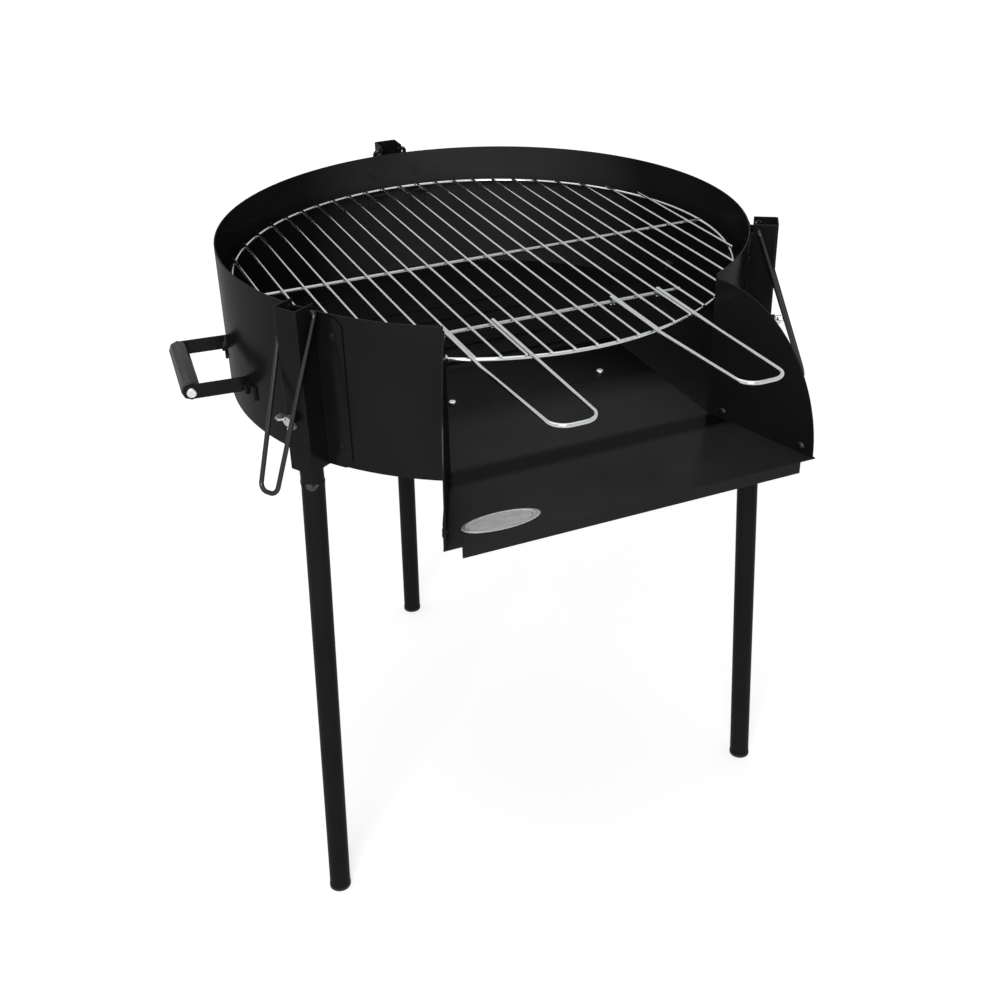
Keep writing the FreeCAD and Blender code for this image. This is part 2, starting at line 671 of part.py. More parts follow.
def leg_edges(foot_z):
    """Middle line of a leg, straight in its bracket and splayed below it."""
    kink_z = RIM_HEIGHT - LEG_KINK_DROP
    top = Vector(LEG_AXIS, 0, RIM_HEIGHT - LEG_TOP_DROP)
    kink = Vector(LEG_AXIS, 0, kink_z)
    foot = Vector(leg_foot_radius(foot_z), 0, foot_z)
    return rounded_path([top, kink, foot], [LEG_KINK_RADIUS])


def leg_foot_radius(z):
    """Distance of a leg's splayed middle line from the drum's axis at a height."""
    return LEG_AXIS + (RIM_HEIGHT - LEG_KINK_DROP - z) * tan(radians(LEG_SPLAY))


def leg(angle):
    """A steel tube leg, cut level just above the floor."""
    below = -TUBE_DIAMETER
    edges = leg_edges(below)
    tube = bent_wire(edges, TUBE_RADIUS).cut(bent_wire(edges, TUBE_RADIUS - TUBE_WALL))
    reach = CHANNEL_FACE * 2
    under = block(Vector(0, -reach, below * 2), Vector(reach, reach, FOOT_RIM + SEAT))
    return turned(solid_of(tube.cut(under)), angle)


def leg_foot(angle):
    """A plug in the end of a leg, with a rim that stands on the floor."""
    axis = Vector(-sin(radians(LEG_SPLAY)), 0, cos(radians(LEG_SPLAY)))
    base = Vector(leg_foot_radius(0), 0, 0) - axis * TUBE_DIAMETER
    rim = Part.makeCylinder(TUBE_RADIUS + FOOT_RIM_OVERHANG, TUBE_DIAMETER * 2, base, axis)
    stem_length = TUBE_DIAMETER + FOOT_PLUG_LENGTH
    stem = Part.makeCylinder(TUBE_RADIUS - TUBE_WALL - SEAT, stem_length, base, axis)
    reach = CHANNEL_FACE * 2
    above = block(Vector(0, -reach, FOOT_RIM), Vector(reach, reach, reach))
    below = block(Vector(0, -reach, -reach), Vector(reach, reach, 0))
    foot = rim.cut(above).fuse(stem).cut(below)
    return turned(solid_of(foot), angle)


def clamp_nuts():
    """A welded nut on the face of each bracket, for its clamp screw."""
    place = Vector(CHANNEL_FACE + SEAT, 0, CLAMP_Z)
    hexagon = regular_prism(6, NUT_FLATS / 2 / cos(pi / 6), CLAMP_NUT_HEIGHT)
    bore = Part.makeCylinder(HOLE_RADIUS, CLAMP_NUT_HEIGHT)
    plain = aimed(hexagon.cut(bore), place, Vector(1, 0, 0))
    return [turned(plain, angle) for angle in LEG_SIDES.values()]


def clamp_screw(angle):
    """A wing screw that presses on the leg."""
    tip = LEG_AXIS + TUBE_RADIUS + SEAT
    shank = rod(Vector(tip, 0, CLAMP_Z), Vector(WING_BASE, 0, CLAMP_Z), BOLT_RADIUS)
    hub = rod(Vector(WING_BASE, 0, CLAMP_Z), Vector(WING_BASE + WING_HUB_LENGTH, 0, CLAMP_Z), WING_HUB_RADIUS)
    half = WING_SPAN / 2
    middle = WING_BASE + WING_HUB_LENGTH / 2
    ear_start = WING_HUB_RADIUS / 2
    outline = [(WING_BASE, ear_start), (middle, half), (WING_TIP, half),
               (WING_TIP, half * 0.6), (middle, ear_start)]
    low = CLAMP_Z - WING_THICKNESS / 2
    ears = []
    for side in (-1, 1):
        corners = [Vector(x, side * y, low) for x, y in outline]
        ears.append(prism(corners, Vector(0, 0, WING_THICKNESS)))
    screw = fused([shank, hub] + ears)
    screw.rotate(Vector(0, 0, CLAMP_Z), Vector(1, 0, 0), WING_TURN)
    return turned(screw, angle)


def arm_tilt(side):
    """How far an arm hangs out from upright, in radians."""
    return ARM_TILT - radians(ARM_EASE[side])


def pan_arm(side):
    """A folding wire arm, hung outside the drum from the two pivot holes of a bracket."""
    down = Vector(sin(arm_tilt(side)), 0, -cos(arm_tilt(side)))
    pivot = Vector(ARM_PIVOT_R, 0, ARM_PIVOT_Z)
    stub = CHANNEL_HALF - SHEET - ARM_STUB_INSIDE
    half = [pivot + Vector(0, stub, 0), pivot + Vector(0, ARM_TOP_HALF, 0)]
    half.append(pivot + down * ARM_LENGTH + Vector(0, ARM_END_HALF, 0))
    points = half + [Vector(p.x, -p.y, p.z) for p in reversed(half)]
    edges = rounded_path(points, [ARM_ELBOW, ARM_LOOP, ARM_LOOP, ARM_ELBOW])
    return turned(bent_wire(edges, ARM_RADIUS), LEG_SIDES[side])


def handle_strap(heel, mouth):
    """A flat strap from the drum to a grip's end, with a foot along the drum towards the mouth."""
    low = HANDLE_Z - STRAP_HEIGHT / 2
    high = HANDLE_Z + STRAP_HEIGHT / 2
    inner = DRUM_RADIUS + SEAT
    near = min(mouth * heel, mouth * (heel + STRAP_THICKNESS))
    arm = block(Vector(0, near, low), Vector(HANDLE_AXIS, near + STRAP_THICKNESS, high))
    end = Part.makeCylinder(STRAP_HEIGHT / 2, STRAP_THICKNESS,
                            Vector(HANDLE_AXIS, near, HANDLE_Z), Vector(0, 1, 0))
    arm = arm.fuse(end).cut(Part.makeCylinder(inner, RIM_HEIGHT))
    foot_near = min(mouth * heel, mouth * (heel + STRAP_FOOT))
    band = block(Vector(0, foot_near, low), Vector(DRUM_RADIUS * 2, foot_near + STRAP_FOOT, high))
    foot = tube_shell(inner + STRAP_THICKNESS, inner, low, high).common(band)
    strap = fused([arm, foot])
    bore = rod(Vector(HANDLE_AXIS, -GRIP_LENGTH, HANDLE_Z),
               Vector(HANDLE_AXIS, GRIP_LENGTH, HANDLE_Z), HOLE_RADIUS)
    return strap.cut(bore)


def handle_straps(angle):
    """The two straps of a side handle."""
    places = [(a, z) for a, z in strap_bolt_places() if a * angle > 0]
    holes = [radial_hole(a, z, DRUM_RADIUS - HEAD_RADIUS, DRUM_RADIUS + HEAD_RADIUS) for a, z in places]
    straps = [handle_strap(heel, mouth_side(angle)) for heel in STRAP_HEELS]
    return [solid_of(turned(strap, angle).cut(holes)) for strap in straps]


def grip(angle):
    """The faceted grip between two straps."""
    bar = regular_prism(GRIP_SIDES, GRIP_RADIUS, GRIP_LENGTH)
    bar = bar.makeFillet(GRIP_ROUND, bar.Edges)
    bar = bar.cut(Part.makeCylinder(HOLE_RADIUS, GRIP_LENGTH))
    start = Vector(HANDLE_AXIS, -GRIP_LENGTH / 2, HANDLE_Z)
    return turned(solid_of(aimed(bar, start, Vector(0, 1, 0))), angle)


def grip_fasteners(make, offset):
    """One fastener at the mouth side of each grip, or at the other side for a negative offset."""
    pieces = []
    for angle in HANDLE_SIDES.values():
        mouth = mouth_side(angle)
        place = Vector(HANDLE_AXIS, mouth * offset, HANDLE_Z)
        pieces.append(turned(make(place, Vector(0, -mouth, 0)), angle))
    return pieces


def grip_bolts():
    """The long screws through the grips."""
    span = 2 * (STRAP_OUTER + SEAT)
    return grip_fasteners(lambda place, inwards: bolt(place, inwards, span), STRAP_OUTER + SEAT)


def grip_nuts():
    """The nuts on the far end of the grip screws."""
    return grip_fasteners(nut, -STRAP_OUTER - SEAT)


def strap_bolts():
    """The screws that hold the handle straps to the drum."""
    bolts = []
    for angle, height in strap_bolt_places():
        seat = outwards(angle) * (DRUM_RADIUS + STRAP_THICKNESS + 2 * SEAT) + Vector(0, 0, height)
        bolts.append(bolt(seat, outwards(angle) * -1, STRAP_THICKNESS + SHEET + 3 * SEAT))
    return bolts


def strap_nuts():
    """The nuts inside the drum behind the handle straps."""
    places = strap_bolt_places()
    inside = DRUM_RADIUS - SHEET - SEAT
    return [nut(outwards(a) * inside + Vector(0, 0, z), outwards(a) * -1) for a, z in places]


def grate_ring():
    """The round wire at the edge of the grate."""
    return Part.makeTorus(RING_RADIUS, RING_WIRE / 2, Vector(0, 0, RING_Z))


def grate_bars():
    """The parallel wires that lie on the ring."""
    bars = []
    for index in range(-BARS_EACH_SIDE, BARS_EACH_SIDE + 1):
        x = index * BAR_PITCH
        reach = sqrt((RING_RADIUS + RING_WIRE / 2) ** 2 - x ** 2)
        bars.append(rod(Vector(x, -reach, BAR_Z), Vector(x, reach, BAR_Z), BAR_WIRE / 2))
    return bars


def grate_rods():
    """The middle cross rod and the short rod that carries the fold-down handles."""
    inside = RING_RADIUS - RING_WIRE / 2
    middle = sqrt(inside ** 2 - MIDDLE_ROD_Y ** 2) - SEAT
    halves = [(MIDDLE_ROD_Y, middle), (HANDLE_ROD_Y, HANDLE_ROD_HALF)]
    return [rod(Vector(-half, y, ROD_Z), Vector(half, y, ROD_Z), ROD_WIRE / 2) for y, half in halves]


def eye_arc(x, turns):
    """The hook of a grate handle round its rod, through three turns measured back from the top."""
    centre = Vector(x, HANDLE_ROD_Y, ROD_Z)
    spots = [radians(90 - turn) for turn in turns]
    points = [centre + Vector(0, EYE_RADIUS * cos(spot), EYE_RADIUS * sin(spot)) for spot in spots]
    return Part.Arc(*points).toShape()


def grate_handle(side):
    """A wire loop with hooked ends, hinged on the short rod and lying over the ring."""
    middle = side * LOOP_X
    bend_y = -RING_RADIUS - LOOP_RADIUS
    tip_y = -RING_RADIUS - LOOP_REACH
    left = [Vector(middle - LOOP_HALF, HANDLE_ROD_Y, LOOP_Z)]
    left.append(Vector(middle - LOOP_HALF, bend_y, LOOP_Z))
    left.append(Vector(middle - LOOP_END_WIDTH / 2, tip_y, LOOP_Z + LOOP_RISE))
    right = [Vector(2 * middle - p.x, p.y, p.z) for p in reversed(left)]
    loop = rounded_path(left + right, [LOOP_BEND, LOOP_CORNER, LOOP_CORNER, LOOP_BEND])
    first_eye = eye_arc(middle - LOOP_HALF, (EYE_WRAP, EYE_WRAP / 2, 0.0))
    last_eye = eye_arc(middle + LOOP_HALF, (0.0, EYE_WRAP / 2, EYE_WRAP))
    return bent_wire([first_eye] + loop + [last_eye], LOOP_RADIUS)


def build_pieces():
    """All pieces by name, about the drum's axis. A list holds separate solids of one kind."""
    pieces = {
        "drum_wall": drum_wall(),
        "drum_floor": drum_floor(),
        "front_tray": front_tray(),
        "nameplate": nameplate(),
        "nameplate_rivets": nameplate_rivets(),
        "tray_bolts": tray_bolts(),
        "tray_nuts": tray_nuts(),
        "cheek_rivets": cheek_rivets(),
        "bracket_rivets": bracket_rivets(),
        "grate_rest_clips": grate_rest_clips(),
        "clamp_nuts": clamp_nuts(),
        "grip_bolts": grip_bolts(),
        "grip_nuts": grip_nuts(),
        "strap_bolts": strap_bolts(),
        "strap_nuts": strap_nuts(),
        "grate_ring": grate_ring(),
        "grate_bars": grate_bars(),
        "grate_rods": grate_rods(),
    }
    for side, sign in MIRROR_SIDES.items():
        pieces[side + "_cheek"] = cheek(sign)
        pieces[side + "_grate_handle"] = grate_handle(sign)
    for side, angle in LEG_SIDES.items():
        pieces[side + "_leg_bracket"] = leg_bracket(angle)
        pieces[side + "_leg"] = leg(angle)
        pieces[side + "_foot"] = leg_foot(angle)
        pieces[side + "_clamp_screw"] = clamp_screw(angle)
        pieces[side + "_pan_arm"] = pan_arm(side)
    for side, angle in HANDLE_SIDES.items():
        pieces[side + "_handle_straps"] = handle_straps(angle)
        pieces[side + "_grip"] = grip(angle)
    return pieces


def axis_y():
    """Place of the drum's axis along Y, with the origin under the middle of the whole object."""
    front = RING_RADIUS + LOOP_REACH + LOOP_RADIUS
    rear = ARM_PIVOT_R + ARM_LENGTH * sin(arm_tilt("rear")) + ARM_RADIUS
    return (front - rear) / 2


def main():
    """Builds every piece and writes one file for each."""
    os.makedirs("parts", exist_ok=True)
    shift = Vector(0, axis_y(), 0)
    for name, piece in build_pieces().items():
        shape = Part.makeCompound(piece) if isinstance(piece, list) else piece
        shape.translate(shift)
        shape.exportStep("parts/%s.step" % name)
        print(name, len(shape.Solids), shape.isValid(), round(shape.Volume))


if __name__ == "__main__":
    main()
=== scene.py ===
"""Paella grill: finishes, small formed pieces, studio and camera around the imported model."""

import logging
import math
from dataclasses import dataclass, field
from enum import Enum

import bpy
import numpy as np
from mathutils import Matrix, Vector


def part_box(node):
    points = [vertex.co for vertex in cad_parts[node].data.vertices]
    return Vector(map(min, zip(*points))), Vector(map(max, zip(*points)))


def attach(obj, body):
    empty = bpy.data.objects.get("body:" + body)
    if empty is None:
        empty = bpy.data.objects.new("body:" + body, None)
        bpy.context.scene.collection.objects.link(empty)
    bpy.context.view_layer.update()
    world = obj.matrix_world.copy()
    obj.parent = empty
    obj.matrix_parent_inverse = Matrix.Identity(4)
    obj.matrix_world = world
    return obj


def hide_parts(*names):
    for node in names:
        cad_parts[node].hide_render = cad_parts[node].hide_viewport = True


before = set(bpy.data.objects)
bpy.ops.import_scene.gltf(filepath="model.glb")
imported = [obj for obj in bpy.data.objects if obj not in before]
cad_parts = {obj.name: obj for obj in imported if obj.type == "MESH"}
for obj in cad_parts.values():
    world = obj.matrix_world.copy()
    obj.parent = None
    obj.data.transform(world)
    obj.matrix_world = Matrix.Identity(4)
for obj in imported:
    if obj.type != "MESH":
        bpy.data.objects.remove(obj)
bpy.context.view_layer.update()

MM = 0.001
DRUM_RADIUS = 300 * MM
RIM_HEIGHT = 750 * MM
AXIS_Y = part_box("drum_wall")[1].y - DRUM_RADIUS
FULL_TURN = 2 * math.pi
SHARP_FOLD = math.radians(40.0)
LOG = logging.getLogger("paella_grill")

Colour = tuple[float, float, float]
Triple = tuple[float, float, float]
Span = tuple[float, float]
Socket = bpy.types.NodeSocket
Material = bpy.types.Material

WHITE: Colour = (1.0, 1.0, 1.0)
UNIT: Span = (0.0, 1.0)


class Slot(Enum):
    """The record's material slots."""

    PAINT = "black_paint"
    ZINC = "zinc_plate"
    WIRE = "bright_wire"
    WOOD = "stained_wood"
    PLATE = "plate_metal"
    FOOT = "foot_plastic"


class Ends(Enum):
    """How a grid of points is joined to faces along one of its two directions."""

    OPEN = 0
    CLOSED = 1


def grid_faces(rows: int, columns: int, down: Ends, across: Ends) -> np.ndarray:
    """Corner numbers of the quads of a grid of points.

    Point (i, j) has number i * columns + j. Each quad joins it to its neighbours in the next row and column,
    and a closed direction also joins the last line to the first.

    Args:
        rows: Number of rows of points.
        columns: Number of points in a row.
        down: Whether the last row is joined to the first.
        across: Whether the last column is joined to the first.

    Returns:
        An array of quads, four corner numbers each.
    """
    i = np.arange(rows - 1 + down.value)[:, None]
    j = np.arange(columns - 1 + across.value)[None, :]
    below = (i + 1) % rows * columns
    beside = (j + 1) % columns
    corners = (i * columns + j, below + j, below + beside, i * columns + beside)
    return np.stack(np.broadcast_arrays(*corners), axis=-1).reshape(-1, 4)


def end_faces(rows: int, columns: int) -> list[list[int]]:
    """Two faces that close the first and the last row of a grid of rings."""
    return [list(range(columns)), list(range((rows - 1) * columns, rows * columns))[::-1]]


def make_piece(name: str, points: np.ndarray, faces: list[list[int]]) -> bpy.types.Object:
    """Makes a mesh object at the origin, smooth except at its sharp folds.

    Args:
        name: Name of the piece.
        points: Array of vertex places in metres, three numbers each.
        faces: Corner numbers of each face.

    Returns:
        The new object, linked to the scene.
    """
    mesh = bpy.data.meshes.new(name)
    mesh.from_pydata(points.reshape(-1, 3).tolist(), [], faces)
    mesh.polygons.foreach_set("use_smooth", np.ones(len(mesh.polygons), dtype=bool))
    mesh.set_sharp_from_angle(angle=SHARP_FOLD)
    mesh.update()
    piece = bpy.data.objects.new(name, mesh)
    bpy.context.scene.collection.objects.link(piece)
    return piece


class Tree:
    """A node tree with short ways to add nodes and join them.

    The Mix node has sockets for each kind of value, and those for colours are known by their numbers.
    """

    first_colour = 6
    second_colour = 7
    mixed_colour = 2

    def __init__(self, tree: bpy.types.NodeTree) -> None:
        """Keeps the tree that nodes are added to."""
        self.tree = tree

    def add(self, kind: str, settings: dict | None = None, **inputs: object) -> bpy.types.Node:
        """Adds a node.

        Args:
            kind: The node's type name without the leading ShaderNode.
            settings: Values of the node's own properties.
            inputs: Values or output sockets for its inputs, with _ for a space in the input's name.

        Returns:
            The new node.
        """
        node = self.tree.nodes.new("ShaderNode" + kind)
        for key, value in (settings or {}).items():
            setattr(node, key, value)
        for key, value in inputs.items():
            self.put(node, key.replace("_", " "), value)
        return node

    def put(self, node: bpy.types.Node, key: str | int, value: object) -> None:
        """Joins an output to an input, or sets the input's own value."""
        socket = node.inputs[key]
        if isinstance(value, Socket):
            self.tree.links.new(value, socket)
        else:
            socket.default_value = value

    def place(self) -> Socket:
        """The place of each point of the surface in the model's frame."""
        return self.add("TexCoord").outputs["Object"]

    def stretch(self, place: Socket, scale: Triple) -> Socket:
        """Places scaled along each axis."""
        return self.add("Mapping", Vector=place, Scale=scale).outputs["Vector"]

    def math(self, operation: str, *values: object) -> Socket:
        """A sum, product or other step on single values."""
        node = self.add("Math", {"operation": operation})
        for index, value in enumerate(values):
            self.put(node, index, value)
        return node.outputs[0]

    def dot(self, first: object, second: object) -> Socket:
        """The dot product of two vectors."""
        node = self.add("VectorMath", {"operation": "DOT_PRODUCT"})
        self.put(node, 0, first)
        self.put(node, 1, second)
        return node.outputs["Value"]

    def spread(self, value: object, given: Span, wanted: Span) -> Socket:
        """Carries a span of values evenly to another span and holds it at its ends."""
        node = self.add("MapRange", Value=value, From_Min=given[0], From_Max=given[1],
                        To_Min=wanted[0], To_Max=wanted[1])
        return node.outputs["Result"]

    def mix(self, share: object, first: object, second: object) -> Socket:
        """A colour between two colours."""
        node = self.add("Mix", {"data_type": "RGBA"})
        self.put(node, 0, share)
        self.put(node, self.first_colour, first)
        self.put(node, self.second_colour, second)
        return node.outputs[self.mixed_colour]

    def noise(self, place: Socket, detail: float = 2.0, rough: float = 0.5) -> Socket:
        """Soft random values over places that are already scaled."""
        node = self.add("TexNoise", Vector=place, Scale=1.0, Detail=detail, Roughness=rough)
        return node.outputs["Fac"]

    def group(self, tree: bpy.types.NodeTree, **inputs: object) -> dict[str, Socket]:
        """Places a shared group with its own values and gives its outputs by name."""
        node = self.tree.nodes.new("ShaderNodeGroup")
        node.node_tree = tree
        for key, value in inputs.items():
            self.put(node, key.replace("_", " "), value)
        return {socket.name: socket for socket in node.outputs}


def rgba(colour: Colour) -> tuple[float, float, float, float]:
    """A colour with full opacity."""
    return (*colour, 1.0)


@dataclass(frozen=True)
class Unevenness:
    """Noise scales of a surface's patches, smudges and grain, and how high its wave and grain stand."""

    patch_scale: float
    smudge_scale: float
    grain_scale: float
    wave: float
    grain: float


@dataclass(frozen=True)
class Relief:
    """How strongly a height tilts the surface, and the depth it stands for."""

    strength: float
    depth: float


class SharedEffects:
    """Shader node groups that more than one finish uses."""

    patch_span: Span = (0.3, 0.7)
    patch_detail: float = 3.0
    smudge_span: Span = (0.5, 0.75)
    smudge_detail: float = 4.0
    smudge_rough: float = 0.6
    smudge_swirl: float = 0.4
    grain_detail: float = 2.0
    edge_span: Span = (0.98, 0.75)
    edge_samples: int = 6

    def __init__(self) -> None:
        """Builds each group once."""
        self.uneven_tree = self._uneven_surface()
        self.edges_tree = self._rounded_edges()

    @staticmethod
    def _start(
        name: str, inputs: dict[str, str], outputs: dict[str, str]
    ) -> tuple[Tree, object, bpy.types.Node]:
        """A new group with its sockets.

        Args:
            name: Name of the group.
            inputs: Socket kind for each input.
            outputs: Socket kind for each output.

        Returns:
            The tree, its input node's outputs and its output node.
        """
        tree = bpy.data.node_groups.new(name, "ShaderNodeTree")
        for key, kind in inputs.items():
            tree.interface.new_socket(key, in_out="INPUT", socket_type="NodeSocket" + kind)
        for key, kind in outputs.items():
            tree.interface.new_socket(key, in_out="OUTPUT", socket_type="NodeSocket" + kind)
        entry = tree.nodes.new("NodeGroupInput")
        leave = tree.nodes.new("NodeGroupOutput")
        return Tree(tree), entry.outputs, leave

    def _uneven_surface(self) -> bpy.types.NodeTree:
        """Uneven surface: broad patches, middle-sized smudges and a fine grain.

        Patches are soft noise, smudges are noise cut to its upper part, and the height adds the patches as a
        slow wave to the grain.

        Returns:
            The group's tree.
        """
        numbers = ("Patch Scale", "Smudge Scale", "Grain Scale", "Wave", "Grain")
        tree, given, leave = self._start(
            "uneven_surface", {"Place": "Vector", **dict.fromkeys(numbers, "Float")},
            {"Patches": "Float", "Smudges": "Float", "Height": "Float"})
        patches = tree.add("TexNoise", Vector=given["Place"], Scale=given["Patch Scale"],
                           Detail=self.patch_detail).outputs["Fac"]
        smudge = tree.add("TexNoise", Vector=given["Place"], Scale=given["Smudge Scale"],
                          Detail=self.smudge_detail, Roughness=self.smudge_rough,
                          Distortion=self.smudge_swirl).outputs["Fac"]
        grain = tree.add("TexNoise", Vector=given["Place"], Scale=given["Grain Scale"],
                         Detail=self.grain_detail).outputs["Fac"]
        wave = tree.math("MULTIPLY", patches, given["Wave"])
        fine = tree.math("MULTIPLY", grain, given["Grain"])
        tree.put(leave, "Patches", tree.spread(patches, self.patch_span, UNIT))
        tree.put(leave, "Smudges", tree.spread(smudge, self.smudge_span, UNIT))
        tree.put(leave, "Height", tree.math("ADD", wave, fine))
        return tree.tree

    def _rounded_edges(self) -> bpy.types.NodeTree:
        """Rounded edges: a normal that turns over each edge, and a mask that is 1 on the edge itself.

        The mask grows with the angle between the rounded normal and the face's own.

        Returns:
            The group's tree.
        """
        tree, given, leave = self._start("rounded_edges", {"Radius": "Float"},
                                         {"Mask": "Float", "Normal": "Vector"})
        bevel = tree.add("Bevel", {"samples": self.edge_samples}, Radius=given["Radius"])
        rounded = bevel.outputs["Normal"]
        turn = tree.dot(rounded, tree.add("NewGeometry").outputs["Normal"])
        tree.put(leave, "Mask", tree.spread(turn, self.edge_span, UNIT))
        tree.put(leave, "Normal", rounded)
        return tree.tree

    def uneven(self, tree: Tree, sizes: Unevenness) -> dict[str, Socket]:
        """Lays the uneven surface into a material and gives its outputs."""
        return tree.group(
            self.uneven_tree, Place=tree.place(), Patch_Scale=sizes.patch_scale,
            Smudge_Scale=sizes.smudge_scale, Grain_Scale=sizes.grain_scale, Wave=sizes.wave,
            Grain=sizes.grain)

    def edges(self, tree: Tree, radius: float) -> dict[str, Socket]:
        """Lays the rounded edges into a material and gives their outputs."""
        return tree.group(self.edges_tree, Radius=radius)


class Coat:
    """A new material with one Principled shader, and its tree."""

    def __init__(self, name: str) -> None:
        """Makes the material and finds its shader."""
        self.material = bpy.data.materials.new(name)
        self.material.use_nodes = True
        self.tree = Tree(self.material.node_tree)
        self.shader = next(n for n in self.tree.tree.nodes if n.type == "BSDF_PRINCIPLED")

    def join(self, key: str, value: Socket) -> None:
        """Joins an output to an input of the shader."""
        self.tree.put(self.shader, key, value)

    def set(self, key: str, value: float) -> None:
        """Sets a plain value on the shader's own socket."""
        self.shader.inputs[key].default_value = value

    def raise_surface(self, height: Socket, relief: Relief, normal: Socket | None = None) -> None:
        """Tilts the shader's normal by a height, over another normal where one is given."""
        bump = self.tree.add("Bump", Strength=relief.strength, Distance=relief.depth, Height=height)
        if normal is not None:
            self.tree.put(bump, "Normal", normal)
        self.join("Normal", bump.outputs["Normal"])


@dataclass(frozen=True)
class PaintFinish:
    """Satin black enamel on sheet steel, with a faint orange peel and softly uneven gloss.

    The gloss falls with the square of how squarely a face is seen, because a white surround would turn the
    sides of black tubes and of the drum pale.
    """

    name: str = "satin_black_enamel"
    dark: Colour = (0.0060, 0.0062, 0.0065)
    light: Colour = (0.0095, 0.0098, 0.0102)
    # The edge colour is a painted highlight along the rounded edges of the sheet.
    edge: Colour = (0.0300, 0.0304, 0.0308)
    edge_share: float = 0.6
    edge_radius: float = 0.5 * MM
    rough: Span = (0.16, 0.26)
    smudge_rough: float = 0.05
    specular: float = 0.10
    specular_power: float = 2.0
    uneven: Unevenness = Unevenness(
        patch_scale=9.0, smudge_scale=55.0, grain_scale=1100.0, wave=1.6, grain=0.05)
    relief: Relief = Relief(strength=0.25, depth=0.4 * MM)

    def build(self, effects: SharedEffects) -> Material:
        """Makes the material.

        Args:
            effects: The shared node groups.

        Returns:
            The new material.
        """
        coat = Coat(self.name)
        tree = coat.tree
        uneven = effects.uneven(tree, self.uneven)
        edges = effects.edges(tree, self.edge_radius)
        # Painted highlight: the edge colour takes a share of the rounded-edge mask.
        edge_highlight = tree.math("MULTIPLY", edges["Mask"], self.edge_share)
        coat.join("Base Color", tree.mix(edge_highlight, self.body(tree, uneven["Patches"]), rgba(self.edge)))
        smudged = tree.math("MULTIPLY", uneven["Smudges"], self.smudge_rough)
        coat.join("Roughness", tree.math("ADD", tree.spread(uneven["Patches"], UNIT, self.rough), smudged))
        coat.raise_surface(uneven["Height"], self.relief, edges["Normal"])
        squarely = tree.math("SUBTRACT", 1.0, tree.add("LayerWeight", Blend=0.5).outputs["Facing"])
        falling = tree.math("POWER", squarely, self.specular_power)
        coat.join("Specular IOR Level", tree.math("MULTIPLY", self.specular, falling))
        return coat.material

    def body(self, tree: Tree, patches: Socket) -> Socket:
        """The paint's own colour, from dark to light by the patches."""
        return tree.mix(patches, rgba(self.dark), rgba(self.light))


@dataclass(frozen=True)
class InsideLitFinish(PaintFinish):
    """The same enamel with a paler colour of painted light inside the drum's wall, strongest at the back."""

    name: str = "inside_lit_black_enamel"
    # Paler colours of painted light for the inside of the wall.
    lit_inside_dark: Colour = (0.0270, 0.0274, 0.0277)
    lit_inside_light: Colour = (0.0380, 0.0384, 0.0388)
    lit_turn_deg: float = 20.0
    lit_full_deg: float = 11.0
    lit_end_deg: float = 46.0

    def body(self, tree: Tree, patches: Socket) -> Socket:
        """The paint's colour, and painted light on faces that look towards the drum's axis.

        The share of painted light is the product of two shares. One grows from 0 to 1 as the surface turns
        from edge-on to the axis until it faces it. The other is 1 near one direction from the axis, a little
        right of straight back, and falls to 0 with the cosine of the angle from there.

        Args:
            tree: The material's tree.
            patches: Uneven values over the surface.

        Returns:
            The colour.
        """
        from_axis = tree.add("Mapping", Vector=tree.place(), Location=(0.0, -AXIS_Y, 0.0),
                             Scale=(1.0, 1.0, 0.0))
        outwards = tree.add("VectorMath", {"operation": "NORMALIZE"})
        tree.put(outwards, 0, from_axis.outputs["Vector"])
        direction = outwards.outputs["Vector"]
        turned = tree.dot(direction, tree.add("NewGeometry").outputs["Normal"])
        facing = tree.spread(turned, (0.0, -1.0), UNIT)
        turn = math.radians(self.lit_turn_deg)
        backwards = tree.dot(direction, (math.sin(turn), math.cos(turn), 0.0))
        lit_span = (math.cos(math.radians(self.lit_end_deg)), math.cos(math.radians(self.lit_full_deg)))
        # Share of painted light on the inside of the wall.
        painted_light = tree.math("MULTIPLY", facing, tree.spread(backwards, lit_span, UNIT))
        lit_colour = tree.mix(patches, rgba(self.lit_inside_dark), rgba(self.lit_inside_light))
        return tree.mix(painted_light, super().body(tree, patches), lit_colour)


@dataclass(frozen=True)
class TrayFinish(PaintFinish):
    """A paler copy of the enamel as painted light, with painted shade inwards and in a soft strip along the
    tray's bend.
    """

    name: str = "tray_black_enamel"
    # Paler colours than the enamel elsewhere: painted light on the tray.
    dark: Colour = (0.0130, 0.0134, 0.0139)
    light: Colour = (0.0190, 0.0195, 0.0200)
    # Painted shade: the colour inwards and in the strip along the bend.
    shade_colour: Colour = (0.0015, 0.0015, 0.0015)
    shade_span: Span = (-190 * MM, -135 * MM)
    strip_middle: float = -275 * MM
    strip_half: float = 8 * MM
    strip_fade: float = 9 * MM
    strip_share: float = 0.9

    def body(self, tree: Tree, patches: Socket) -> Socket:
        """The paint's colour, and painted shade by the place along Y from the drum's axis.

        The share of painted shade grows evenly over its span. In the strip it is the strip's share within the
        half width and falls evenly to 0 over the fade. The larger of the two holds.

        Args:
            tree: The material's tree.
            patches: Uneven values over the surface.

        Returns:
            The colour.
        """
        along_y = tree.add("SeparateXYZ", Vector=tree.place()).outputs["Y"]
        y = tree.math("SUBTRACT", along_y, AXIS_Y)
        inwards = tree.spread(y, self.shade_span, UNIT)
        off = tree.math("ABSOLUTE", tree.math("SUBTRACT", y, self.strip_middle))
        fade = (self.strip_half, self.strip_half + self.strip_fade)
        # Painted shade: the larger of the inward share and the strip's share.
        shade_share = tree.math("MAXIMUM", inwards, tree.spread(off, fade, (self.strip_share, 0.0)))
        return tree.mix(shade_share, super().body(tree, patches), rgba(self.shade_colour))


